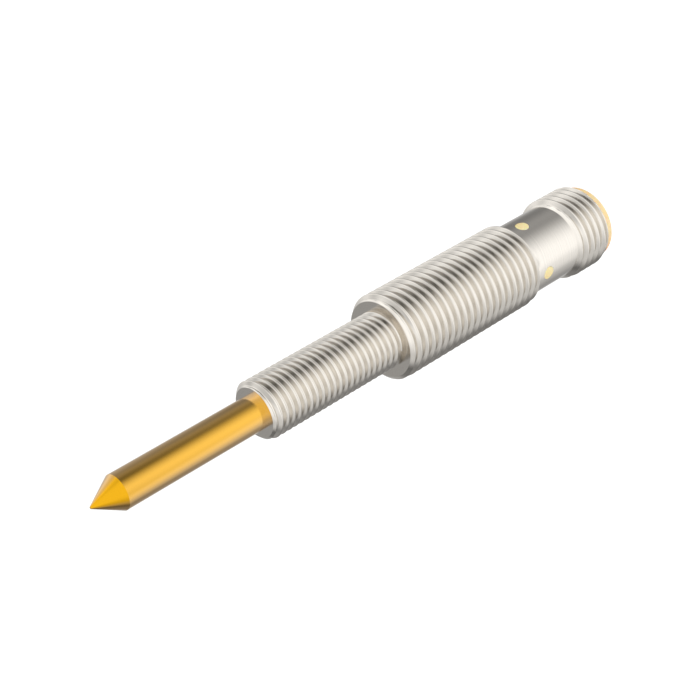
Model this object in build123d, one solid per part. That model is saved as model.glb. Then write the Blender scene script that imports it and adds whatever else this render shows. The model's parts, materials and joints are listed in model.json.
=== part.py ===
from build123d import *
import os
from math import cos, radians, sin, tan

# Pin-type magnetic field sensor. Its axis is X: the probe points to -X and the connector to +X.
# The origin is the middle of the mounting thread, on the axis. Sizes are in millimetres.
# Threads are smooth at their major diameter here.

# Lengths along the axis, from the tip to the connector
probe_length = 24.8
front_thread_length = 21.9
mounting_thread_length = 25.8
neck_length = 8.5
connector_length = 6.7
insert_rim_length = 0.8

# Housing outside
front_thread_diameter = 8.0
front_chamfer = 0.625
mounting_thread_diameter = 12.0
mounting_chamfer = 0.65
neck_diameter = 10.5
connector_thread_diameter = 12.0
connector_chamfer = 0.6
insert_rim_step = 0.05

# Housing inside
neck_wall = 0.45
shoulder_wall = 2.0
strip_bore_diameter = 5.2
pin_seat_depth = 10.0

# Status windows in the neck
window_count = 4
window_diameter = 1.7
window_offset = 2.1

# Probe pin
pin_diameter = 4.66
pin_shank_diameter = 4.2
pin_wall = 0.58
cone_half_angle = 30.0
tip_radius = 0.2
tip_wall = 3.4
drill_half_angle = 59.0

# Inside the probe
magnet_length = 4.5
magnet_cup_wall = 0.4
magnet_cup_floor = 0.6
strip_width = 2.6
strip_thickness = 0.5
strip_lap = 2.5
strip_chip_gap = 2.2
sensor_chip_side = 2.0
sensor_chip_height = 0.75
probe_seal_length = 4.0

# Main board and the round board behind the windows
board_thickness = 1.0
board_front_gap = 1.3
sleeve_wall = 0.5
sleeve_rib_width = 0.6
sleeve_rib_height = 0.5
board_edge_gap = 0.25
led_board_thickness = 0.8
tenon_width = 2.6
part_gap = 0.8

# Bought-in parts on the boards: length, width, height
processor_size = (5.0, 3.0, 1.0)
regulator_size = (2.9, 1.6, 1.1)
transistor_size = (2.9, 1.3, 1.0)
diode_size = (2.6, 4.3, 2.2)
suppressor_size = (3.6, 4.3, 2.3)
storage_size = (3.5, 2.8, 1.9)
capacitor_size = (1.6, 0.8, 0.8)
resistor_size = (1.6, 0.8, 0.45)
processor_leads_per_side = 4
regulator_leads_per_side = 3
transistor_leads_per_side = 2
lead_thickness = 0.15
lead_reach = 0.7
fine_lead_width = 0.3
wide_lead_width = 1.4
package_chamfer = 0.1
cap_length = 0.35
cap_skin = 0.04

# LEDs: width round the axis, length along it, height outwards
led_width = 2.0
led_length = 1.2
led_height = 0.7
led_lens_width = 1.2
led_lens_height = 0.4

# Contact carrier
contact_count = 4
first_contact_angle = 45.0
contact_circle_diameter = 5.0
contact_diameter = 1.0
contact_tail_diameter = 0.6
contact_tail_reach = 0.6
contact_tip_chamfer = 0.25
contact_recess = 1.2
socket_wall = 0.45
socket_depth = 9.0
socket_lead_in = 0.25
rim_edge = 0.12
base_length = 3.5
full_base_length = 1.9
tongue_thickness = 0.5
tongue_width = 2.4
tongue_tip_margin = 0.2
coding_rib_width = 1.4
coding_rib_height = 0.7
coding_rib_recess = 1.0
seal_section = 0.7
seal_bevel = 0.15
seal_squeeze_room = 0.1

# Clearances
fit_gap = 0.05
board_slack = 0.1
cast_gap = 0.02

# Stations along the axis
shoulder_x = -mounting_thread_length / 2
mounting_end_x = mounting_thread_length / 2
front_face_x = shoulder_x - front_thread_length
tip_x = front_face_x - probe_length
neck_end_x = mounting_end_x + neck_length
metal_end_x = neck_end_x + connector_length
insert_end_x = metal_end_x + insert_rim_length
window_x = mounting_end_x + window_offset
socket_floor_x = insert_end_x - socket_depth
base_front_x = socket_floor_x - base_length
tongue_root_x = socket_floor_x - full_base_length
tongue_front_x = window_x - window_diameter / 2 - tongue_tip_margin
pin_end_x = front_face_x + pin_seat_depth
cavity_front_x = shoulder_x + shoulder_wall
led_board_back_x = window_x - led_length / 2
led_board_front_x = led_board_back_x - led_board_thickness
board_front_x = cavity_front_x + board_front_gap

# Radii that several pieces share
pin_radius = pin_diameter / 2
pin_shank_radius = pin_shank_diameter / 2
pin_bore_radius = pin_radius - pin_wall
neck_radius = neck_diameter / 2
bore_radius = neck_radius - neck_wall
connector_radius = connector_thread_diameter / 2
connector_rim_radius = connector_radius - connector_chamfer
strip_bore_radius = strip_bore_diameter / 2
probe_rod_radius = pin_bore_radius - fit_gap
magnet_radius = probe_rod_radius - magnet_cup_wall - cast_gap
carrier_radius = bore_radius - fit_gap
tongue_inner_radius = carrier_radius - tongue_thickness
tongue_travel = neck_radius - carrier_radius
led_board_radius = tongue_inner_radius - tongue_travel - board_slack
sleeve_inner_radius = carrier_radius - sleeve_wall
board_half_width = sleeve_inner_radius - board_edge_gap
socket_radius = carrier_radius - socket_wall
contact_circle_radius = contact_circle_diameter / 2

# Ends of the pieces inside the probe
magnet_front_x = tip_x + tip_wall + pin_bore_radius / tan(radians(drill_half_angle)) + fit_gap
magnet_back_x = magnet_front_x + magnet_length
cup_end_x = magnet_back_x + magnet_cup_floor
strip_front_x = cup_end_x + fit_gap
strip_end_x = board_front_x + strip_lap
sensor_x = strip_front_x + strip_chip_gap + sensor_chip_side / 2


def turned(outline):
    # A solid of revolution from a closed outline of (x, radius) points
    return revolve(make_face(Polyline(*outline, close=True)), Axis.X)


def rod(radius, start_x, end_x, y=0.0, z=0.0):
    return Pos((start_x + end_x) / 2, y, z) * Rot(0, 90, 0) * Cylinder(radius, end_x - start_x)


def block(start_x, end_x, low_y, high_y, low_z, high_z):
    centre = ((start_x + end_x) / 2, (low_y + high_y) / 2, (low_z + high_z) / 2)
    return Pos(*centre) * Box(end_x - start_x, high_y - low_y, high_z - low_z)


def round_the_axis(shape, count, first_angle=0.0):
    # Copies of a shape that is drawn at the top, one for each place round the axis
    return [Rot(first_angle + 360 / count * place, 0, 0) * shape for place in range(count)]


def window_peg(radius, inner_radius):
    # A round peg at the windows' station, drawn at the top, from a radius to well outside the neck
    length = neck_diameter - inner_radius
    return Pos(window_x, 0, inner_radius + length / 2) * Cylinder(radius, length)


def housing():
    # One turned piece. A 45 degree chamfer starts each thread.
    front_radius = front_thread_diameter / 2
    mounting_radius = mounting_thread_diameter / 2
    seat_radius = pin_shank_radius + cast_gap
    body = turned([
        (front_face_x, seat_radius),
        (front_face_x, front_radius - front_chamfer),
        (front_face_x + front_chamfer, front_radius),
        (shoulder_x, front_radius),
        (shoulder_x, mounting_radius - mounting_chamfer),
        (shoulder_x + mounting_chamfer, mounting_radius),
        (mounting_end_x - (mounting_radius - neck_radius), mounting_radius),
        (mounting_end_x, neck_radius),
        (neck_end_x, neck_radius),
        (neck_end_x + connector_radius - neck_radius, connector_radius),
        (metal_end_x - connector_chamfer, connector_radius),
        (metal_end_x, connector_rim_radius),
        (metal_end_x, bore_radius),
        (cavity_front_x, bore_radius),
        (cavity_front_x, strip_bore_radius),
        (pin_end_x, strip_bore_radius),
        (pin_end_x, seat_radius),
    ])
    for hole in round_the_axis(window_peg(window_diameter / 2, 0), window_count):
        body -= hole
    return body


def probe_pin():
    # Round nose, cone, body and slimmer shank outside; a drilled blind bore inside
    slope = radians(cone_half_angle)
    nose_x = tip_x + tip_radius * (1 - sin(slope))
    nose_radius = tip_radius * cos(slope)
    cone_end_x = nose_x + (pin_radius - nose_radius) / tan(slope)
    bore_start_x = tip_x + tip_wall + pin_bore_radius / tan(radians(drill_half_angle))
    half_turn = radians(90 - cone_half_angle) / 2
    nose_middle = (tip_x + tip_radius * (1 - cos(half_turn)), tip_radius * sin(half_turn))
    nose = ThreePointArc((tip_x, 0), nose_middle, (nose_x, nose_radius))
    sides = Polyline(
        (nose_x, nose_radius),
        (cone_end_x, pin_radius),
        (front_face_x, pin_radius),
        (front_face_x, pin_shank_radius),
        (pin_end_x, pin_shank_radius),
        (pin_end_x, pin_bore_radius),
        (bore_start_x, pin_bore_radius),
        (tip_x + tip_wall, 0),
        (tip_x, 0),
    )
    return revolve(make_face([nose, sides]), Axis.X)


def probe_magnet():
    return rod(magnet_radius, magnet_front_x, magnet_back_x)


def probe_carrier():
    # A rod with a cup for the magnet in front and a flat deck for the strip behind it
    body = rod(probe_rod_radius, magnet_front_x, pin_end_x)
    body -= rod(magnet_radius + cast_gap, magnet_front_x - fit_gap, magnet_back_x)
    body -= block(cup_end_x, pin_end_x, -pin_radius, pin_radius, 0, pin_radius)
    return body


def probe_board():
    return block(strip_front_x, strip_end_x, -strip_width / 2, strip_width / 2, 0, strip_thickness)


def field_sensor():
    half = sensor_chip_side / 2
    body = block(sensor_x - half, sensor_x + half, -half, half, strip_thickness,
                 strip_thickness + sensor_chip_height)
    return chamfer(body.edges().group_by(Axis.Z)[-1], package_chamfer)


def probe_seal():
    # Cast in the bore behind the pin, round the strip
    seal_end_x = pin_end_x + probe_seal_length
    plug = rod(strip_bore_radius - cast_gap, pin_end_x, seal_end_x)
    strip_half = strip_width / 2 + cast_gap
    return plug - block(pin_end_x, seal_end_x, -strip_half, strip_half, -cast_gap,
                        strip_thickness + cast_gap)


def board_sleeve():
    # A tube with two guide ribs along each edge of the board
    front_x = cavity_front_x + fit_gap
    end_x = led_board_front_x - board_slack
    tube = rod(carrier_radius, front_x, end_x) - rod(sleeve_inner_radius, front_x, end_x)
    ribs = []
    for side in (-1, 1):
        inner = side * (board_half_width - sleeve_rib_width)
        outer = side * carrier_radius
        low_y, high_y = min(inner, outer), max(inner, outer)
        ribs.append(block(front_x, end_x, low_y, high_y, cast_gap, cast_gap + sleeve_rib_height))
        under = -board_thickness - cast_gap
        ribs.append(block(front_x, end_x, low_y, high_y, under - sleeve_rib_height, under))
    return tube + [rib & rod(carrier_radius, front_x, end_x) for rib in ribs]


def main_board():
    # Top face at the axis, with a tenon through the round board
    tenon = tenon_width / 2
    half = board_half_width
    plate = block(board_front_x, led_board_front_x, -half, half, -board_thickness, 0)
    return plate + block(led_board_front_x, led_board_back_x, -tenon, tenon, -board_thickness, 0)


def led_board():
    disc = rod(led_board_radius, led_board_front_x, led_board_back_x)
    tenon = tenon_width / 2 + cast_gap
    disc -= block(led_board_front_x, led_board_back_x, -tenon, tenon, -board_thickness - cast_gap, cast_gap)
    tail_hole = rod(contact_tail_diameter / 2 + fit_gap, led_board_front_x, led_board_back_x,
                    0, contact_circle_radius)
    return disc - round_the_axis(tail_hole, contact_count, first_contact_angle)


def side_led():
    # Stands on the round board with its lens facing the window above it
    top = led_board_radius - led_lens_height
    end_x = led_board_back_x + led_length
    body = block(led_board_back_x, end_x, -led_width / 2, led_width / 2, top - led_height, top)
    lens_half = led_lens_width / 2
    lens = block(led_board_back_x, end_x, -lens_half, lens_half, top, led_board_radius)
    return body + chamfer(lens.edges().group_by(Axis.Z)[-1], package_chamfer)


def flat_package(size, leads_per_side, lead_width):
    # A chip standing on z = 0 with bent leads on its two Y sides
    length, width, height = size
    middle = height / 2
    body = block(-length / 2, length / 2, -width / 2, width / 2, lead_thickness, height)
    body = chamfer(body.edges().group_by(Axis.Z)[-1], package_chamfer)
    leads = []
    for place in range(leads_per_side):
        low_x = (place + 0.5) * length / leads_per_side - length / 2 - lead_width / 2
        high_x = low_x + lead_width
        knee = width / 2 + lead_reach / 2
        leads.append(block(low_x, high_x, -knee, knee, middle - lead_thickness, middle))
        for edge in (-1, 1):
            inner, outer = edge * (knee - lead_thickness), edge * knee
            toe = edge * (width / 2 + lead_reach)
            leads.append(block(low_x, high_x, min(inner, outer), max(inner, outer), 0, middle))
            leads.append(block(low_x, high_x, min(inner, toe), max(inner, toe), 0, lead_thickness))
    return body + leads


def capped_chip(size):
    # A two-terminal chip standing on z = 0, with slightly thicker metal ends
    length, width, height = size
    half = width / 2
    core_end = length / 2 - cap_length
    core = block(-core_end, core_end, cap_skin - half, half - cap_skin, cap_skin, height - cap_skin)
    front_cap = block(-length / 2, -core_end, -half, half, 0, height)
    back_cap = block(core_end, length / 2, -half, half, 0, height)
    return core + front_cap + back_cap


def on_top(shape, x, y=0.0, base_z=0.0):
    return Pos(x, y, base_z) * shape


def underneath(shape, x, y=0.0):
    return Pos(x, y, -board_thickness) * Rot(180, 0, 0) * shape


def lengthwise(shape):
    # Turns a part's Y sides towards the ends of the board
    return Rot(0, 0, 90) * shape


def contact(clearance=0.0):
    # Turned at the top of the contact circle: solder tail, then the mating pin
    pin = contact_diameter / 2 + clearance
    tail = contact_tail_diameter / 2 + clearance
    tail_x = led_board_front_x - contact_tail_reach
    end_x = insert_end_x - contact_recess
    body = turned([
        (tail_x, 0),
        (tail_x, tail),
        (base_front_x, tail),
        (base_front_x, pin),
        (end_x - contact_tip_chamfer, pin),
        (end_x, pin - contact_tip_chamfer),
        (end_x, 0),
    ])
    return Pos(0, 0, contact_circle_radius) * body


def seal_groove():
    # The groove's two sides, in the middle of the full part of the base
    width = seal_section + seal_squeeze_room
    front_x = (tongue_root_x + socket_floor_x - width) / 2
    return front_x, front_x + width


def carrier_cup():
    # Turned form: slim core under the tongues, full base with the seal's groove, socket and flange
    flange_radius = connector_rim_radius - insert_rim_step
    groove_front_x, groove_back_x = seal_groove()
    groove_radius = bore_radius - seal_section - cast_gap
    return turned([
        (base_front_x, 0),
        (base_front_x, led_board_radius),
        (tongue_root_x, led_board_radius),
        (tongue_root_x, carrier_radius),
        (groove_front_x, carrier_radius),
        (groove_front_x, groove_radius),
        (groove_back_x, groove_radius),
        (groove_back_x, carrier_radius),
        (metal_end_x, carrier_radius),
        (metal_end_x, flange_radius),
        (insert_end_x - rim_edge, flange_radius),
        (insert_end_x, flange_radius - rim_edge),
        (insert_end_x, socket_radius + socket_lead_in),
        (insert_end_x - socket_lead_in, socket_radius),
        (socket_floor_x, socket_radius),
        (socket_floor_x, 0),
    ])


def coding_rib():
    # Runs along the top of the socket, rooted halfway into its wall
    root_radius = (carrier_radius + socket_radius) / 2
    return block(socket_floor_x, insert_end_x - coding_rib_recess, -coding_rib_width / 2,
                 coding_rib_width / 2, socket_radius - coding_rib_height, root_radius)


def window_tongue():
    # Springs in over the core until its stud snaps out into the window, flush with the neck
    half = tongue_width / 2
    tongue = rod(carrier_radius, tongue_front_x, tongue_root_x)
    tongue -= rod(tongue_inner_radius, tongue_front_x, tongue_root_x)
    tongue &= block(tongue_front_x, tongue_root_x, -half, half, 0, carrier_radius)
    stud = window_peg(window_diameter / 2 - cast_gap, tongue_inner_radius)
    return tongue + (stud & rod(neck_radius, tongue_front_x, tongue_root_x))


def contact_carrier():
    # One moulding. Each contact is moulded in, so its hollow has the contact's own form.
    body = carrier_cup() + coding_rib()
    for tongue in round_the_axis(window_tongue(), window_count):
        body += tongue
    for hollow in round_the_axis(contact(cast_gap), contact_count, first_contact_angle):
        body -= hollow
    return body


def carrier_seal():
    # Square sealing ring with bevelled edges, between the groove's floor and the bore
    centre_radius = bore_radius - cast_gap / 2 - seal_section / 2
    ring_x = sum(seal_groove()) / 2
    section = Pos(ring_x, centre_radius) * Rectangle(seal_section, seal_section)
    section = chamfer(section.vertices(), seal_bevel)
    return revolve(section, Axis.X)


def save(name, shape):
    export_step(shape, f"parts/{name}.step")


def row(start_x, *lengths):
    # Centres of parts set one after another along the board from start_x
    centres = []
    for length in lengths:
        centres.append(start_x + length / 2)
        start_x += length + part_gap
    return centres


os.makedirs("parts", exist_ok=True)
save("housing", housing())
save("probe_pin", probe_pin())

# Inside the probe
save("probe_magnet", probe_magnet())
save("probe_carrier", probe_carrier())
save("probe_board", probe_board())
save("field_sensor", field_sensor())
probe_capacitor_x = sensor_x + sensor_chip_side / 2 + part_gap + capacitor_size[0] / 2
save("probe_capacitor", on_top(capped_chip(capacitor_size), probe_capacitor_x, 0, strip_thickness))
save("probe_seal", probe_seal())

# Boards and their liner
save("board_sleeve", board_sleeve())
save("main_board", main_board())
save("led_board", led_board())

# Top side of the main board, behind the end of the strip
processor_x, regulator_x, transistor_x, *resistor_columns = row(
    strip_end_x + part_gap, processor_size[0], regulator_size[0], transistor_size[0],
    resistor_size[0], resistor_size[0])
processor = flat_package(processor_size, processor_leads_per_side, fine_lead_width)
regulator = flat_package(regulator_size, regulator_leads_per_side, fine_lead_width)
transistor = flat_package(transistor_size, transistor_leads_per_side, fine_lead_width)
save("signal_processor", on_top(processor, processor_x))
save("voltage_regulator", on_top(regulator, regulator_x))
save("output_transistor", on_top(transistor, transistor_x))
resistor_y = (resistor_size[1] + part_gap) / 2
resistors = [
    on_top(capped_chip(resistor_size), x, side * resistor_y)
    for x in resistor_columns for side in (-1, 1)
]
save("resistors", Compound(children=resistors))
capacitor_y = regulator_size[1] / 2 + lead_reach + board_slack + capacitor_size[1] / 2
capacitors = [
    on_top(capped_chip(capacitor_size), x, side * capacitor_y)
    for x in (regulator_x, transistor_x) for side in (-1, 1)
]
save("filter_capacitors", Compound(children=capacitors))

# Underside of the main board
diode_x, suppressor_x, storage_x = row(
    board_front_x + part_gap, diode_size[1] + 2 * lead_reach, suppressor_size[1] + 2 * lead_reach,
    storage_size[0])
save("reverse_diode", underneath(lengthwise(flat_package(diode_size, 1, wide_lead_width)), diode_x))
save("surge_suppressor",
     underneath(lengthwise(flat_package(suppressor_size, 1, wide_lead_width)), suppressor_x))
save("storage_capacitor", underneath(capped_chip(storage_size), storage_x))

# Connector end
save("contact_carrier", contact_carrier())
save("carrier_seal", carrier_seal())
for number, shape in enumerate(round_the_axis(contact(), contact_count, first_contact_angle), 1):
    save(f"contact_{number}", shape)
for number, shape in enumerate(round_the_axis(side_led(), window_count), 1):
    save(f"led_{number}", shape)
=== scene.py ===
import bpy
import bmesh
import json
import math
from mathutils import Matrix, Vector


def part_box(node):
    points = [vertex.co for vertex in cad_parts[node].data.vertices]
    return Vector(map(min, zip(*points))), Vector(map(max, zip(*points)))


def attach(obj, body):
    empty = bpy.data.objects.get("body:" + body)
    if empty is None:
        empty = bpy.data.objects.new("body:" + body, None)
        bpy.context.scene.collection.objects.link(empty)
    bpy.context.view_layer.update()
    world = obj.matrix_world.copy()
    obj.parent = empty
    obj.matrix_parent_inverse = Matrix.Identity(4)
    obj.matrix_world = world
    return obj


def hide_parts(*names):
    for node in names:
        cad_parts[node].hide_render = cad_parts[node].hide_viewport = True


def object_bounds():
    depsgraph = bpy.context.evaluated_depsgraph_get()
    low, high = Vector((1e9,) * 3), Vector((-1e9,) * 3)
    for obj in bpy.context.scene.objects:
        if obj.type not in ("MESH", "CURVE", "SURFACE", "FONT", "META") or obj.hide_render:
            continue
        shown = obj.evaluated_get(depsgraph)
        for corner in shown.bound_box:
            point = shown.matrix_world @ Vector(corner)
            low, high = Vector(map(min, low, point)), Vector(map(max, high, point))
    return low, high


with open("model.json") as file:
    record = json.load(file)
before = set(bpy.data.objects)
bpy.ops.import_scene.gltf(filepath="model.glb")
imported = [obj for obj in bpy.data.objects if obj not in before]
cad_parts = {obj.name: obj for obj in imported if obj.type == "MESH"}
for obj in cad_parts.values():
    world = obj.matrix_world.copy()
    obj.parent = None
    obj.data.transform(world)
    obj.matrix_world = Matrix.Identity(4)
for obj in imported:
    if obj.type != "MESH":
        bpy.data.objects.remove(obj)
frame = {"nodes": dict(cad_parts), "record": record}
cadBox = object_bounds()
print("frame loaded")

mm = 0.001
mounts = {mount["name"]: mount for mount in frame["record"]["mounts"]}
housingLow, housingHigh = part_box("housing")
pinLow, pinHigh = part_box("probe_pin")
ledLow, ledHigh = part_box("led_1")


# Small helpers

def linear(hexColour):
    # An sRGB hex value as the linear colour that shaders take
    parts = [int(hexColour[i:i + 2], 16) / 255 for i in (1, 3, 5)]
    return tuple(p / 12.92 if p <= 0.04045 else ((p + 0.055) / 1.055) ** 2.4 for p in parts) + (1.0,)


def addNode(tree, kind, settings=None, links=None):
    # Settings go to sockets by name or number, and otherwise to the node itself
    node = tree.nodes.new(kind)
    for name, value in (settings or {}).items():
        if isinstance(name, int) or name in node.inputs:
            node.inputs[name].default_value = value
        else:
            setattr(node, name, value)
    for name, source in (links or {}).items():
        tree.links.new(source, node.inputs[name])
    return node


def startMaterial(name, settings):
    # A material with one Principled shader, its tree and that shader
    material = bpy.data.materials.new(name)
    material.use_nodes = True
    tree = material.node_tree
    shader = tree.nodes["Principled BSDF"]
    for key, value in settings.items():
        shader.inputs[key].default_value = value
    return material, tree, shader


# Patterns, and what they do to a surface

noiseSpan = {"From Min": 0.3, "From Max": 0.7}    # most of a noise lies between these


def blotches(tree, size):
    # Soft blotches about size metres across
    point = addNode(tree, "ShaderNodeTexCoord").outputs["Object"]
    return addNode(tree, "ShaderNodeTexNoise", {"Scale": 1 / size}, {"Vector": point}).outputs[0]


def axisPlace(tree):
    # Where a point of the surface lies on the sensor's axis
    point = addNode(tree, "ShaderNodeTexCoord").outputs["Object"]
    return addNode(tree, "ShaderNodeSeparateXYZ", None, {0: point}).outputs[0]


def toolRings(tree, feed):
    # Rings round the axis, about feed metres apart, as a turning tool leaves them
    settings = {"noise_dimensions": "1D", "Scale": 1 / feed}
    return addNode(tree, "ShaderNodeTexNoise", settings, {"W": axisPlace(tree)}).outputs[0]


def pastPlace(tree, x):
    # 1 past a place on the axis, 0 before it
    settings = {"operation": "GREATER_THAN", 1: x}
    return addNode(tree, "ShaderNodeMath", settings, {0: axisPlace(tree)}).outputs[0]


def shadesBetween(tree, pattern, low, high):
    # A colour that runs from the first shade to the second with the pattern
    settings = noiseSpan | {"To Min": 0.0, "To Max": 1.0}
    share = addNode(tree, "ShaderNodeMapRange", settings, {"Value": pattern}).outputs[0]
    shades = {"data_type": "RGBA", 6: linear(low), 7: linear(high)}
    return addNode(tree, "ShaderNodeMix", shades, {0: share}).outputs[2]


def varyRoughness(tree, shader, pattern, low, high):
    settings = noiseSpan | {"To Min": low, "To Max": high}
    value = addNode(tree, "ShaderNodeMapRange", settings, {"Value": pattern}).outputs[0]
    tree.links.new(value, shader.inputs["Roughness"])


def raiseRelief(tree, shader, pattern, depth, strength=0.5):
    settings = {"Strength": strength, "Distance": depth}
    relief = addNode(tree, "ShaderNodeBump", settings, {"Height": pattern}).outputs[0]
    tree.links.new(relief, shader.inputs["Normal"])


# Materials

def turnedStainlessSteel():
    # Stainless steel, turned and rolled: a warm grey near-mirror with faint rings from the tool
    look = {
        "shades": ("#e0dbd3", "#e7e2da"),
        "feed": 0.2 * mm,            # drawn twice as coarse, to show
        "ringDepth": 0.0006 * mm,
        "blotch": 3 * mm,
        "roughness": (0.13, 0.19),
    }
    material, tree, shader = startMaterial("turned stainless steel", {"Metallic": 1.0})
    rings = toolRings(tree, look["feed"])
    tree.links.new(shadesBetween(tree, rings, *look["shades"]), shader.inputs["Base Color"])
    varyRoughness(tree, shader, blotches(tree, look["blotch"]), *look["roughness"])
    raiseRelief(tree, shader, rings, look["ringDepth"])
    return material


def coatedPolishedSteel():
    # Steel with a hard gold-coloured coating: saturated where it faces the eye, with a pale gloss at grazing
    # angles. The ground cone is a deeper yellow than the drawn pin.
    look = {
        "cone": "#dfa61c",
        "pin": "#e9b44a",
        "coneEndX": pinLow.x + 3.85 * mm,
        "feed": 0.15 * mm,
        "ringDepth": 0.0004 * mm,
        "roughness": (0.15, 0.21),
        "glossFrom": 0.17,           # the pale gloss sets in between these, where 1 is fully grazing
        "glossFull": 0.45,
    }
    settings = {"Metallic": 1.0, "Coat IOR": 2.5, "Coat Roughness": 0.15}
    material, tree, shader = startMaterial("coated polished steel", settings)
    shades = {"data_type": "RGBA", 6: linear(look["cone"]), 7: linear(look["pin"])}
    colour = addNode(tree, "ShaderNodeMix", shades, {0: pastPlace(tree, look["coneEndX"])}).outputs[2]
    tree.links.new(colour, shader.inputs["Base Color"])
    rings = toolRings(tree, look["feed"])
    varyRoughness(tree, shader, rings, *look["roughness"])
    raiseRelief(tree, shader, rings, look["ringDepth"])
    grazing = addNode(tree, "ShaderNodeLayerWeight").outputs["Facing"]
    settings = {"From Min": look["glossFrom"], "From Max": look["glossFull"], "To Max": 1.0}
    gloss = addNode(tree, "ShaderNodeMapRange", settings, {"Value": grazing}).outputs[0]
    tree.links.new(gloss, shader.inputs["Coat Weight"])
    return material


def mouldedAmberPolycarbonate():
    # Translucent yellow polycarbonate, moulded: glossy skin, an orange bloom where the eye grazes it. The
    # rim is deeper and more orange than the windows: partly thicker plastic, partly painted shade and sheen.
    look = {
        "window": ("#fff1b8", "#ffeba8"),
        # rim: partly thicker plastic, partly painted shade and painted orange sheen
        "rim": ("#ffe3ae", "#ffdca0"),
        "rimX": ledHigh.x + 1.5 * mm,
        "cloud": 1.5 * mm,
        "blotch": 0.6 * mm,
        "roughness": (0.22, 0.3),
        "peel": 0.1 * mm,            # the skin's slight orange peel
        "peelDepth": 0.001 * mm,
        "peelStrength": 0.3,
    }
    settings = {"IOR": 1.58, "Subsurface Weight": 0.3, "Subsurface Scale": 0.3 * mm,
                "Subsurface Radius": (1.0, 0.5, 0.15), "Sheen Weight": 1.0, "Sheen Roughness": 0.42,
                "Sheen Tint": linear("#ff8a4a")}
    material, tree, shader = startMaterial("moulded amber polycarbonate", settings)
    clouds = blotches(tree, look["cloud"])
    # the rim's colour: partly thicker plastic, partly painted shade and painted orange sheen
    thin, thickRimWithPaintedShade = (shadesBetween(tree, clouds, *look[part]) for part in ("window", "rim"))
    links = {0: pastPlace(tree, look["rimX"]), 6: thin, 7: thickRimWithPaintedShade}
    colour = addNode(tree, "ShaderNodeMix", {"data_type": "RGBA"}, links).outputs[2]
    tree.links.new(colour, shader.inputs["Base Color"])
    varyRoughness(tree, shader, blotches(tree, look["blotch"]), *look["roughness"])
    raiseRelief(tree, shader, blotches(tree, look["peel"]), look["peelDepth"], look["peelStrength"])
    return material


def goldPlatedBrass():
    # Turned brass under a thin gold plating: soft yellow metal
    look = {
        "shades": ("#f4cf82", "#e6ba66"),
        "feed": 0.15 * mm,
        "ringDepth": 0.0005 * mm,
        "blotch": 0.5 * mm,
        "roughness": (0.16, 0.26),
    }
    material, tree, shader = startMaterial("gold-plated turned brass", {"Metallic": 1.0})
    rings = toolRings(tree, look["feed"])
    tree.links.new(shadesBetween(tree, rings, *look["shades"]), shader.inputs["Base Color"])
    varyRoughness(tree, shader, blotches(tree, look["blotch"]), *look["roughness"])
    raiseRelief(tree, shader, rings, look["ringDepth"])
    return material


def solderMaskedGlassEpoxy():
    # Glass-epoxy board under green solder mask: the copper below shows as a lighter green, with dark gaps
    look = {
        "gap": "#0c4a2a",
        "copper": "#1d6b3f",
        "gapPitch": 0.5 * mm,        # along a row of gaps
        "copperReach": 0.12 * mm,    # copper from a field's edge to its gap
        "stagger": 0.35,             # of a row against the next, in pitches
        "copperHeight": 0.02 * mm,
        "blotch": 0.3 * mm,
        "roughness": (0.3, 0.42),
    }
    material, tree, shader = startMaterial("solder-masked glass epoxy", {"IOR": 1.5})
    point = addNode(tree, "ShaderNodeTexCoord").outputs["Object"]
    scale = 0.5 / look["gapPitch"]
    settings = {"Scale": scale, "Mortar Size": look["copperReach"] * scale, "offset": look["stagger"]}
    copper = addNode(tree, "ShaderNodeTexBrick", settings, {"Vector": point}).outputs["Fac"]
    shades = {"data_type": "RGBA", 6: linear(look["gap"]), 7: linear(look["copper"])}
    colour = addNode(tree, "ShaderNodeMix", shades, {0: copper}).outputs[2]
    tree.links.new(colour, shader.inputs["Base Color"])
    varyRoughness(tree, shader, blotches(tree, look["blotch"]), *look["roughness"])
    raiseRelief(tree, shader, copper, look["copperHeight"])
    return material


def speckled(look):
    # A plain surface of two near shades, in grains that also set its roughness and its relief
    material, tree, shader = startMaterial(look["name"], look["shader"])
    grains = blotches(tree, look["grain"])
    tree.links.new(shadesBetween(tree, grains, *look["shades"]), shader.inputs["Base Color"])
    varyRoughness(tree, shader, grains, *look["roughness"])
    if "relief" in look:
        raiseRelief(tree, shader, grains, look["relief"])
    return material


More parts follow.
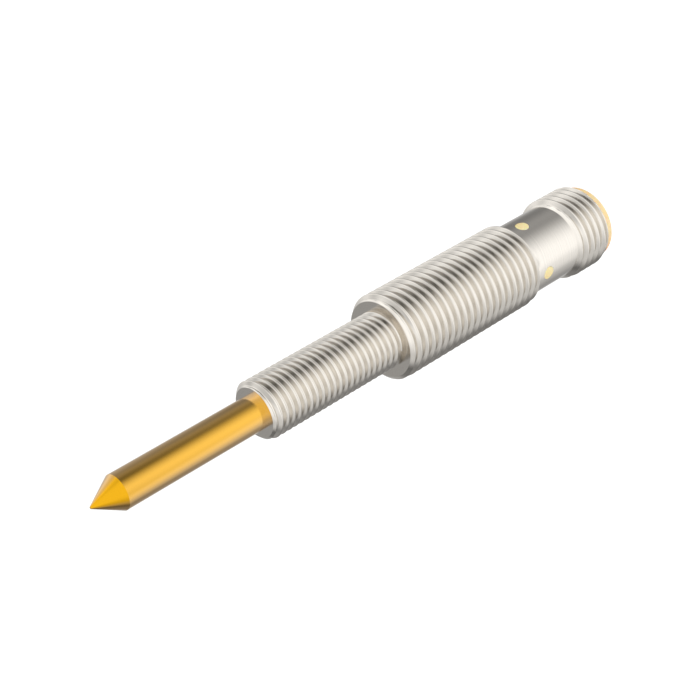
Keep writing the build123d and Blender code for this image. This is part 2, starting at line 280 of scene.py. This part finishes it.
speckledLooks = {
    "seal_rubber": {    # nitrile rubber, moulded: black with a satin skin
        "name": "moulded nitrile rubber", "shades": ("#1b1b1c", "#121213"), "grain": 0.1 * mm,
        "roughness": (0.5, 0.65), "relief": 0.004 * mm, "shader": {"IOR": 1.52},
    },
    "led_body": {    # silicone lens on a white moulded body: milky and glossy
        "name": "moulded silicone and white nylon", "shades": ("#f6f1df", "#ece4c8"), "grain": 0.4 * mm,
        "roughness": (0.2, 0.3),
        "shader": {"IOR": 1.41, "Subsurface Weight": 0.3, "Subsurface Scale": 0.3 * mm},
    },
    "chip_moulding": {    # silica-filled epoxy, moulded: near black, fine matt grain
        "name": "moulded filled epoxy", "shades": ("#232325", "#18181a"), "grain": 0.05 * mm,
        "roughness": (0.45, 0.6), "relief": 0.003 * mm, "shader": {"IOR": 1.55},
    },
    "capacitor_moulding": {    # ochre epoxy case, moulded: matt
        "name": "moulded ochre epoxy", "shades": ("#c8912f", "#b98226"), "grain": 0.06 * mm,
        "roughness": (0.4, 0.5), "relief": 0.003 * mm, "shader": {"IOR": 1.55},
    },
    "capacitor_ceramic": {    # barium titanate ceramic, fired: tan, smooth and dense
        "name": "fired tan ceramic", "shades": ("#a98563", "#957253"), "grain": 0.15 * mm,
        "roughness": (0.3, 0.4), "shader": {"IOR": 1.7},
    },
    "resistor_ceramic": {    # glass-glazed thick film on alumina: black and glossy
        "name": "glazed black film", "shades": ("#202124", "#15161a"), "grain": 0.15 * mm,
        "roughness": (0.15, 0.25), "shader": {"IOR": 1.6},
    },
    "liner_plastic": {    # natural nylon, moulded: milky off-white
        "name": "moulded natural nylon", "shades": ("#ddd8ca", "#d2ccbb"), "grain": 0.8 * mm,
        "roughness": (0.35, 0.45),
        "shader": {"IOR": 1.53, "Subsurface Weight": 0.2, "Subsurface Scale": 0.5 * mm},
    },
    "magnet_nickel": {    # nickel plating on a sintered magnet: bright with a slight orange peel
        "name": "nickel-plated magnet", "shades": ("#c9c3b6", "#bdb6a8"), "grain": 0.3 * mm,
        "roughness": (0.18, 0.28), "relief": 0.002 * mm, "shader": {"Metallic": 1.0},
    },
    "casting_resin": {    # black epoxy, cast: glossy, a little wavy where it set
        "name": "cast black epoxy", "shades": ("#1f1d1b", "#171513"), "grain": 1.0 * mm,
        "roughness": (0.12, 0.2), "relief": 0.01 * mm, "shader": {"IOR": 1.55},
    },
}

finishes = {
    "stainless": turnedStainlessSteel(),
    "gold_coated_steel": coatedPolishedSteel(),
    "yellow_plastic": mouldedAmberPolycarbonate(),
    "gold_plated_brass": goldPlatedBrass(),
    "circuit_board": solderMaskedGlassEpoxy(),
}
finishes |= {slot: speckled(look) for slot, look in speckledLooks.items()}
print("materials made")


# Meshes turned round the sensor's axis. Angles run from +Y towards +Z.

mergeDistance = 0.0001 * mm


def newSkin(columns):
    return {"columns": columns, "points": [], "faces": []}


def addPoint(skin, x, radius, angle):
    skin["points"].append((x, radius * math.cos(angle), radius * math.sin(angle)))
    return len(skin["points"]) - 1


def addRing(skin, x, radius):
    # The radius is a number, or a function of the angle
    ring = []
    for column in range(skin["columns"]):
        angle = 2 * math.pi * column / skin["columns"]
        ring.append(addPoint(skin, x, radius(angle) if callable(radius) else radius, angle))
    return ring


def joinRings(skin, first, second):
    count = len(first)
    for i in range(count):
        j = (i + 1) % count
        skin["faces"].append((first[i], first[j], second[j], second[i]))


def addTurned(skin, outline):
    # Bands between the (x, radius) points of an outline, which runs with the metal on its right
    for start, end in zip(outline, outline[1:]):
        joinRings(skin, addRing(skin, *start), addRing(skin, *end))


def finishSkin(name, skin, finish, sharpDegrees):
    # Closes the skin, drops collapsed faces and makes it an object that rides on the housing's body
    mesh = bpy.data.meshes.new(name)
    mesh.from_pydata(skin["points"], [], skin["faces"])
    work = bmesh.new()
    work.from_mesh(mesh)
    bmesh.ops.remove_doubles(work, verts=work.verts, dist=mergeDistance)
    bmesh.ops.dissolve_degenerate(work, edges=work.edges, dist=mergeDistance)
    openEdges = [edge for edge in work.edges if len(edge.link_faces) != 2]
    print(f"{name}: {len(work.faces)} faces, {len(openEdges)} open edges")
    work.to_mesh(mesh)
    work.free()
    mesh.polygons.foreach_set("use_smooth", [True] * len(mesh.polygons))
    mesh.set_sharp_from_angle(angle=math.radians(sharpDegrees))
    mesh.materials.append(finishes[finish])
    piece = bpy.data.objects.new(name, mesh)
    bpy.context.scene.collection.objects.link(piece)
    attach(piece, "root")
    return piece


# Threads

threadForm = {
    "flankDegrees": 60,      # slope of a flank against the axis
    "crestRadius": 0.108,    # in pitches, and so is the root's
    "rootRadius": 0.144,
    "arcSteps": (-1.0, -0.5, 0.0, 0.5, 1.0),    # places on a rounding, 1 where it meets a flank
    "flankEdge": 0.1,        # strip at either end of a flank, a share of it, so that its middle shades flat
    "chamferStep": 0.04 * mm,
}


def threadKnots():
    # One pitch of the thread as (place, depth) in pitches: rounded crest, straight flanks, rounded root
    crest, root = threadForm["crestRadius"], threadForm["rootRadius"]
    flank = math.radians(threadForm["flankDegrees"])
    flankTop = crest * (1 - math.cos(flank))
    flankWidth = 0.5 - (crest + root) * math.sin(flank)
    flankBottom = flankTop + flankWidth * math.tan(flank)
    centre = flankBottom - root * math.cos(flank)
    turns = [flank * step for step in threadForm["arcSteps"]]
    crestArc = [(crest * math.sin(turn), crest * (1 - math.cos(turn))) for turn in turns]
    rootArc = [(0.5 + root * math.sin(turn), centre + root * math.cos(turn)) for turn in turns]
    nextCrest = (crestArc[0][0] + 1, crestArc[0][1])
    knots = []
    for arc, after in ((crestArc, rootArc[0]), (rootArc, nextCrest)):
        knots += arc
        for share in (threadForm["flankEdge"], 1 - threadForm["flankEdge"]):
            knots.append(tuple(a + (b - a) * share for a, b in zip(arc[-1], after)))
    return knots


knots = threadKnots()


def threadDepth(place):
    # Depth in pitches at a place in pitches, measured from a crest
    place = (place - knots[0][0]) % 1.0 + knots[0][0]
    for (a, depthA), (b, depthB) in zip(knots, knots[1:] + [(knots[0][0] + 1, knots[0][1])]):
        if a <= place <= b:
            return depthA + (depthB - depthA) * (place - a) / (b - a)


def addThread(skin, thread):
    # Right-hand thread between two faces. Its ends are cut by 45 degree chamfers, in fine even steps.
    startX, endX, pitch = thread["startX"], thread["endX"], thread["pitch"]
    columns = skin["columns"]

    def radiusAt(x, angle):
        place = (x - thread["crestX"]) / pitch - angle / (2 * math.pi)
        cut = thread["radius"] - pitch * threadDepth(place)
        return min(cut, thread["startRim"] + x - startX, thread["endRim"] + endX - x)

    def evenZone(first, last):
        steps = max(1, round((last - first) / threadForm["chamferStep"]))
        rings = []
        for step in range(steps + 1):
            x = first + (last - first) * step / steps
            rings.append(addRing(skin, x, lambda angle, x=x: radiusAt(x, angle)))
        for a, b in zip(rings, rings[1:]):
            joinRings(skin, a, b)
        return rings[0], rings[-1]

    first = startX + thread["radius"] - thread["startRim"]
    last = endX - (thread["radius"] - thread["endRim"])
    startRing = evenZone(startX, first)[0]
    # The rows follow the helix, with turns to spare whose points are pressed onto the last full ring
    firstTurn = math.floor((first - thread["crestX"]) / pitch) - 2
    lastTurn = math.ceil((last - thread["crestX"]) / pitch) + 1
    rows = []
    for turn in range(firstTurn, lastTurn + 1):
        for place, depth in knots:
            row = []
            for column in range(columns):
                angle = 2 * math.pi * column / columns
                x = thread["crestX"] + pitch * (turn + place + column / columns)
                if first < x < last:
                    row.append(addPoint(skin, x, thread["radius"] - pitch * depth, angle))
                else:
                    x = min(max(x, first), last)
                    row.append(addPoint(skin, x, radiusAt(x, angle), angle))
            rows.append(row)
    rowsInTurn = len(knots)    # a row meets the row one pitch further on where the turn closes
    for i in range(len(rows) - 1):
        for column in range(columns - 1):
            skin["faces"].append((rows[i][column], rows[i][column + 1], rows[i + 1][column + 1],
                                  rows[i + 1][column]))
        if i + 1 + rowsInTurn < len(rows):
            skin["faces"].append((rows[i][-1], rows[i + rowsInTurn][0], rows[i + 1 + rowsInTurn][0],
                                  rows[i + 1][-1]))
    return startRing, evenZone(last, endX)[1]


# Housing

housing = {
    "columns": 120,            # a multiple of four, so that the windows fall on columns
    "boreRadius": 4.8 * mm,
    "stripBoreRadius": 2.6 * mm,
    "seatRadius": 2.12 * mm,
    "frontRim": 3.375 * mm,
    "mountingRim": 5.35 * mm,
    "connectorRim": 5.4 * mm,
    "neckRadius": 5.25 * mm,
    "neckLength": 8.5 * mm,
    "cavityFrontX": -10.9 * mm,
    "windowRadius": 0.96 * mm,
    "windowPatch": 10,         # columns across the mesh patch that holds a window
    "windowRings": 4,
    "frontPitch": 1.0 * mm,
    "frontCrestX": -24.275 * mm,
    "mountingPitch": 1.25 * mm,
    "mountingCrestX": -0.759 * mm,
    "connectorPitch": 1.25 * mm,
    "connectorCrestX": 24.771 * mm,
    "neckEdge": 0.03 * mm,     # strips that keep the threads' shading off the smooth neck and the flat faces
    "faceEdge": 0.05 * mm,
    "seamWidth": 0.1 * mm,     # fine turned line where the neck meets the connector
    "seamDepth": 0.06 * mm,
    "rimStart": 0.1 * mm,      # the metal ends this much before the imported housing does
    "sharpDegrees": 43,        # steeper edges are drawn sharp
}
frontRadius = mounts["front_thread"]["dims"]["r_mm"] * mm
mountingRadius = mounts["mounting_thread"]["dims"]["r_mm"] * mm
connectorRadius = mounts["connector_thread"]["dims"]["r_mm"] * mm
neckRadius = housing["neckRadius"]
shoulderX = mounts["shoulder"]["pos_m"][0]
neckX = 2 * mounts["mounting_thread"]["pos_m"][0] - shoulderX
collarX = neckX + housing["neckLength"]
windowX = (ledLow.x + ledHigh.x) / 2
metalEndX = housingHigh.x - housing["rimStart"]


def addWindowBand(skin, radius, outward):
    # A band of the neck round the four windows: a square patch of the grid opens into each round hole
    patch = housing["windowPatch"]
    columns = skin["columns"]
    half = neckRadius * math.pi * patch / columns
    side = 1 if outward else -1
    rows = [addRing(skin, windowX + side * half * (2 * i / patch - 1), radius) for i in range(patch + 1)]
    centres = [columns // 4 * quarter for quarter in range(4)]
    inPatch = {(centre + i) % columns for centre in centres for i in range(-patch // 2, patch // 2)}
    for a, b in zip(rows, rows[1:]):
        for i in range(columns):
            if i not in inPatch:
                j = (i + 1) % columns
                skin["faces"].append((a[i], a[j], b[j], b[i]))
    holes = []
    for centre in centres:
        low, high = centre - patch // 2, centre + patch // 2
        loop = [(i, 0) for i in range(low, high)] + [(high, i) for i in range(patch)]
        loop += [(i, patch) for i in range(high, low, -1)] + [(low, i) for i in range(patch, 0, -1)]
        outer = [rows[row][column % columns] for column, row in loop]
        middle = 2 * math.pi * centre / columns
        spots = []
        for column, row in loop:
            across = 2 * math.pi * column / columns - middle
            along = side * half * (2 * row / patch - 1)
            turn = math.atan2(along, across * neckRadius)
            holeAcross = math.asin(housing["windowRadius"] * math.cos(turn) / radius)
            spots.append((across, along, holeAcross, housing["windowRadius"] * math.sin(turn)))
        for ring in range(1, housing["windowRings"] + 1):
            share = ring / housing["windowRings"]
            inner = [
                addPoint(skin, windowX + along + (holeAlong - along) * share, radius,
                         middle + across + (holeAcross - across) * share)
                for across, along, holeAcross, holeAlong in spots
            ]
            joinRings(skin, outer, inner)
            outer = inner
        holes.append(outer)
    return rows[0], rows[-1], holes


def makeHousing():
    # One turned skin, from the front face over the threads and the neck and back through the bore
    skin = newSkin(housing["columns"])
    frontX, backX = housingLow.x, metalEndX
    frontThread = {
        "startX": frontX, "endX": shoulderX, "radius": frontRadius, "startRim": housing["frontRim"],
        "endRim": frontRadius, "pitch": housing["frontPitch"], "crestX": housing["frontCrestX"],
    }
    mountingThread = {
        "startX": shoulderX, "endX": neckX, "radius": mountingRadius, "startRim": housing["mountingRim"],
        "endRim": neckRadius, "pitch": housing["mountingPitch"], "crestX": housing["mountingCrestX"],
    }
    connectorThread = {
        "startX": collarX, "endX": backX, "radius": connectorRadius, "startRim": neckRadius,
        "endRim": housing["connectorRim"], "pitch": housing["connectorPitch"],
        "crestX": housing["connectorCrestX"],
    }
    frontStart, frontEnd = addThread(skin, frontThread)
    mountingStart, mountingEnd = addThread(skin, mountingThread)
    connectorStart, connectorEnd = addThread(skin, connectorThread)
    neckStart, neckEnd, holes = addWindowBand(skin, neckRadius, True)
    joinRings(skin, addRing(skin, frontX, housing["seatRadius"]), frontStart)
    shoulderFoot = addRing(skin, shoulderX, frontRadius + housing["faceEdge"])
    shoulderRim = addRing(skin, shoulderX, neckRadius - housing["faceEdge"])
    joinRings(skin, frontEnd, shoulderFoot)
    joinRings(skin, shoulderFoot, shoulderRim)
    joinRings(skin, shoulderRim, mountingStart)
    neckEdge = addRing(skin, neckX + housing["neckEdge"], neckRadius)
    joinRings(skin, mountingEnd, neckEdge)
    joinRings(skin, neckEdge, neckStart)
    seamStart = addRing(skin, collarX - housing["seamWidth"], neckRadius)
    seamFoot = addRing(skin, collarX - housing["seamWidth"] / 2, neckRadius - housing["seamDepth"])
    joinRings(skin, neckEnd, seamStart)
    joinRings(skin, seamStart, seamFoot)
    joinRings(skin, seamFoot, connectorStart)
    backRim = addRing(skin, backX, neckRadius - housing["faceEdge"])
    backEdge = addRing(skin, backX, housing["boreRadius"])
    joinRings(skin, connectorEnd, backRim)
    joinRings(skin, backRim, backEdge)
    boreStart, boreEnd, boreHoles = addWindowBand(skin, housing["boreRadius"], False)
    joinRings(skin, backEdge, boreStart)
    addTurned(skin, [
        (skin["points"][boreEnd[0]][0], housing["boreRadius"]),
        (housing["cavityFrontX"], housing["boreRadius"]),
        (housing["cavityFrontX"], housing["stripBoreRadius"]),
        (pinHigh.x, housing["stripBoreRadius"]),
        (pinHigh.x, housing["seatRadius"]),
        (frontX, housing["seatRadius"]),
    ])
    turn = len(holes[0])
    for hole, boreHole in zip(holes, boreHoles):
        # The bore's loops run the other way along the axis
        partners = [boreHole[(turn * 3 // 4 - i) % turn] for i in range(turn)]
        joinRings(skin, hole, partners)
    piece = finishSkin("threadedHousing", skin, "stainless", housing["sharpDegrees"])
    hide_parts("housing")


makeHousing()
print("housing made")


# Yellow moulding where it shows: the rim behind the metal and the four windows

moulding = {
    "rimRadius": 5.38 * mm,
    "rimInner": 5.0 * mm,
    "rimEdge": 0.03 * mm,
    "faceStep": 0.01 * mm,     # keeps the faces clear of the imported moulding's
    "windowRadius": 0.95 * mm,
    "windowEdge": 0.03 * mm,
    "windowDepth": 0.35 * mm,
    "windowColumns": 48,
    "sharpDegrees": 30,
}


def makeRim():
    skin = newSkin(housing["columns"])
    outer, inner, edge = moulding["rimRadius"], moulding["rimInner"], moulding["rimEdge"]
    endX = cadBox[1].x - moulding["faceStep"]
    addTurned(skin, [(metalEndX, inner), (metalEndX, outer), (endX - edge, outer), (endX, outer - edge),
                     (endX, inner), (metalEndX, inner)])
    finishSkin("mouldedRim", skin, "yellow_plastic", moulding["sharpDegrees"])


def makeWindows():
    # Four round studs that end flush with the neck, each from its middle over its edge and down, in rings
    # given as (radius, height over the axis)
    skin = newSkin(moulding["windowColumns"])
    radius, edge = moulding["windowRadius"], moulding["windowEdge"]
    top = neckRadius + moulding["faceStep"]
    foot = top - moulding["windowDepth"]
    levels = [(0.0, top), (radius / 2, top), (radius - edge, top), (radius, top - edge), (radius, foot),
              (0.0, foot)]
    for quarter in range(4):
        rings = []
        for reach, height in levels:
            ring = []
            for column in range(skin["columns"]):
                turn = 2 * math.pi * column / skin["columns"]
                angle = math.pi / 2 * quarter + math.asin(reach * math.cos(turn) / height)
                ring.append(addPoint(skin, windowX + reach * math.sin(turn), height, angle))
            rings.append(ring)
        for a, b in zip(rings, rings[1:]):
            joinRings(skin, a, b)
    finishSkin("windowStuds", skin, "yellow_plastic", moulding["sharpDegrees"])


makeRim()
makeWindows()
print("moulding made")


# Probe pin

pin = {
    "columns": 192,
    "radius": mounts["probe"]["dims"]["r_mm"] * mm,
    "coneHalfAngle": 30,
    "noseRadius": 0.2 * mm,
    "noseSteps": 6,
    "shankRadius": 2.1 * mm,
    "boreRadius": 1.75 * mm,
    "tipWall": 3.4 * mm,
    "drillHalfAngle": 59,      # cone that the drill leaves at the end of the bore
    "sharpDegrees": 25,
}


def makePin():
    # Closed skin from the rounded nose over the cone to the shank, and back through the bore
    skin = newSkin(pin["columns"])
    slope = math.radians(pin["coneHalfAngle"])
    nose = pin["noseRadius"]
    outline = []
    for step in range(pin["noseSteps"] + 1):
        turn = (math.pi / 2 - slope) * step / pin["noseSteps"]
        outline.append((pinLow.x + nose * (1 - math.cos(turn)), nose * math.sin(turn)))
    coneX = outline[-1][0] + (pin["radius"] - outline[-1][1]) / math.tan(slope)
    drillX = pinLow.x + pin["tipWall"]
    drillLength = pin["boreRadius"] / math.tan(math.radians(pin["drillHalfAngle"]))
    outline += [
        (coneX, pin["radius"]),
        (housingLow.x, pin["radius"]),
        (housingLow.x, pin["shankRadius"]),
        (pinHigh.x, pin["shankRadius"]),
        (pinHigh.x, pin["boreRadius"]),
        (drillX + drillLength, pin["boreRadius"]),
        (drillX, 0.0),
    ]
    addTurned(skin, outline)
    piece = finishSkin("coatedPin", skin, "gold_coated_steel", pin["sharpDegrees"])
    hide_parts("probe_pin")


makePin()
print("probe pin made")


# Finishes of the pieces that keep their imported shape

slots = {part["node"]: part["material_slot"] for part in frame["record"]["subparts"]}
for name, node in frame["nodes"].items():
    node.data.materials.clear()
    node.data.materials.append(finishes[slots[name]])
print("inner pieces finished")


# Studio: white surroundings, soft panels and dark cloths that only reflections see, a pale floor, a soft lamp
# and the camera

studio = {
    "floorDrop": 60 * mm,
    "floorReach": 6.0,         # metres from the middle to each side
    "floorColour": "#f2f2f2",
    "floorGlow": 0.3,
    "ambient": 0.75,
    "lampStrength": 0.9,       # from the front right, above
    "lampSpread": 50,
    "lampAlong": (-0.35, 0.6, -0.75),
    "reflected": 0.7,          # brightness between the panels, where 1 is white
    # Each panel: where it stands, its size and the reach of its soft edge in degrees, what it adds or takes.
    # Most of the table, and the brightness above, come rounded from a program that fitted them to the
    # reflections in the photo. darkWall, darkEnd, darkUnder and darkTop were set by trial renders.
    "panels": {
        "frontPanel": ((-0.86, -0.43, 0.29), 73, 12, 0.56),
        "rearPanel": ((0.94, -0.21, 0.27), 53, 15, 0.61),
        "lowPanel": ((0.50, -0.69, -0.53), 20, 20, 0.63),
        "farPanel": ((-0.13, 0.77, 0.63), 43, 20, 0.70),
        "floorPanel": ((0.62, 0.11, -0.78), 25, 8, 0.22),
        "darkCeiling": ((0.47, 0.48, 0.74), 47, 33, -1.00),
        "darkCorner": ((0.74, -0.28, -0.61), 36, 12, -0.60),
        "darkWall": ((-0.89, 0.37, 0.18), 36, 10, -0.58),
        "darkFloor": ((-0.49, -0.40, -0.78), 37, 20, -0.55),
        "darkEnd": ((-0.60, 0.60, -0.53), 24, 16, -0.34),
        "darkUnder": ((0.10, 0.30, -0.95), 22, 12, -0.33),
        "darkTop": ((-0.30, 0.26, 0.92), 13, 12, -0.70),
    },
}
view = {
    "place": Vector((-133.84, -115.43, 116.54)) * mm,
    "along": Vector((1, 1, -1)),
    "fieldDegrees": 25.0,
    "sensorWidth": 36.0,       # in mm, as Blender takes it
    "nearest": 10 * mm,
}
white = (1.0, 1.0, 1.0, 1.0)


def raysThatSee(tree):
    # 1 for rays from the camera or through glass, which see plain white, and 1 for reflections
    path = addNode(tree, "ShaderNodeLightPath").outputs
    links = {0: path["Is Camera Ray"], 1: path["Is Transmission Ray"]}
    eye = addNode(tree, "ShaderNodeMath", {"operation": "MAXIMUM"}, links).outputs[0]
    return eye, path["Is Glossy Ray"]


def makeFloor():
    reach, z = studio["floorReach"], cadBox[0].z - studio["floorDrop"]
    corners = [(-reach, -reach, z), (reach, -reach, z), (reach, reach, z), (-reach, reach, z)]
    mesh = bpy.data.meshes.new("paleFloor")
    mesh.from_pydata(corners, [], [(0, 1, 2, 3)])
    floor = bpy.data.objects.new("paleFloor", mesh)
    bpy.context.scene.collection.objects.link(floor)
    material = bpy.data.materials.new("pale paper floor")
    material.use_nodes = True
    tree = material.node_tree
    tree.nodes.clear()
    paper = addNode(tree, "ShaderNodeBsdfDiffuse", {"Color": linear(studio["floorColour"])}).outputs[0]
    settings = {"operation": "MULTIPLY", 1: studio["floorGlow"]}
    strength = addNode(tree, "ShaderNodeMath", settings, {0: raysThatSee(tree)[0]}).outputs[0]
    glow = addNode(tree, "ShaderNodeEmission", {"Color": white}, {"Strength": strength}).outputs[0]
    both = addNode(tree, "ShaderNodeAddShader", None, {0: paper, 1: glow}).outputs[0]
    addNode(tree, "ShaderNodeOutputMaterial", None, {"Surface": both})
    mesh.materials.append(material)
    floor.visible_glossy = False     # metal sees the panels below it instead


def makeWorld():
    world = bpy.data.worlds.new("white studio")
    world.use_nodes = True
    tree = world.node_tree
    tree.nodes.clear()
    direction = addNode(tree, "ShaderNodeTexCoord").outputs["Generated"]
    level = None
    for towards, size, edge, amount in studio["panels"].values():
        settings = {"operation": "DOT_PRODUCT", 1: Vector(towards).normalized()}
        nearness = addNode(tree, "ShaderNodeVectorMath", settings, {0: direction}).outputs["Value"]
        away = addNode(tree, "ShaderNodeMath", {"operation": "ARCCOSINE"}, {0: nearness}).outputs[0]
        settings = {
            "interpolation_type": "SMOOTHSTEP", "From Min": math.radians(size + edge),
            "From Max": math.radians(size - edge), "To Max": amount,
        }
        panel = addNode(tree, "ShaderNodeMapRange", settings, {"Value": away}).outputs[0]
        settings = {"operation": "ADD", 1: studio["reflected"]}
        links = {0: panel, 1: level} if level else {0: panel}
        level = addNode(tree, "ShaderNodeMath", settings, links).outputs[0]
    level = addNode(tree, "ShaderNodeMath", {"operation": "MAXIMUM", 1: 0.0}, {0: level}).outputs[0]
    eye, glossy = raysThatSee(tree)
    links = {"Factor": glossy, "B": level}
    light = addNode(tree, "ShaderNodeMix", {"A": studio["ambient"]}, links).outputs[0]
    light = addNode(tree, "ShaderNodeMix", {"B": 1.0}, {"Factor": eye, "A": light}).outputs[0]
    sky = addNode(tree, "ShaderNodeBackground", {"Color": white}, {"Strength": light}).outputs[0]
    addNode(tree, "ShaderNodeOutputWorld", None, {"Surface": sky})
    bpy.context.scene.world = world


def makeLamp():
    lamp = bpy.data.lights.new("softLamp", "SUN")
    lamp.energy = studio["lampStrength"]
    lamp.angle = math.radians(studio["lampSpread"])
    piece = bpy.data.objects.new("softLamp", lamp)
    piece.rotation_euler = Vector(studio["lampAlong"]).to_track_quat("-Z", "Y").to_euler()
    piece.visible_glossy = False
    bpy.context.scene.collection.objects.link(piece)


def makeCamera():
    camera = bpy.data.objects.new("camera", bpy.data.cameras.new("camera"))
    camera.data.sensor_width = view["sensorWidth"]
    camera.data.lens = view["sensorWidth"] / 2 / math.tan(math.radians(view["fieldDegrees"] / 2))
    camera.data.clip_start = view["nearest"]
    camera.location = view["place"]
    camera.rotation_euler = view["along"].to_track_quat("-Z", "Y").to_euler()
    bpy.context.scene.collection.objects.link(camera)
    bpy.context.scene.camera = camera


makeFloor()
makeWorld()
makeLamp()
makeCamera()
bpy.context.scene.view_settings.view_transform = "Standard"
print("studio made")
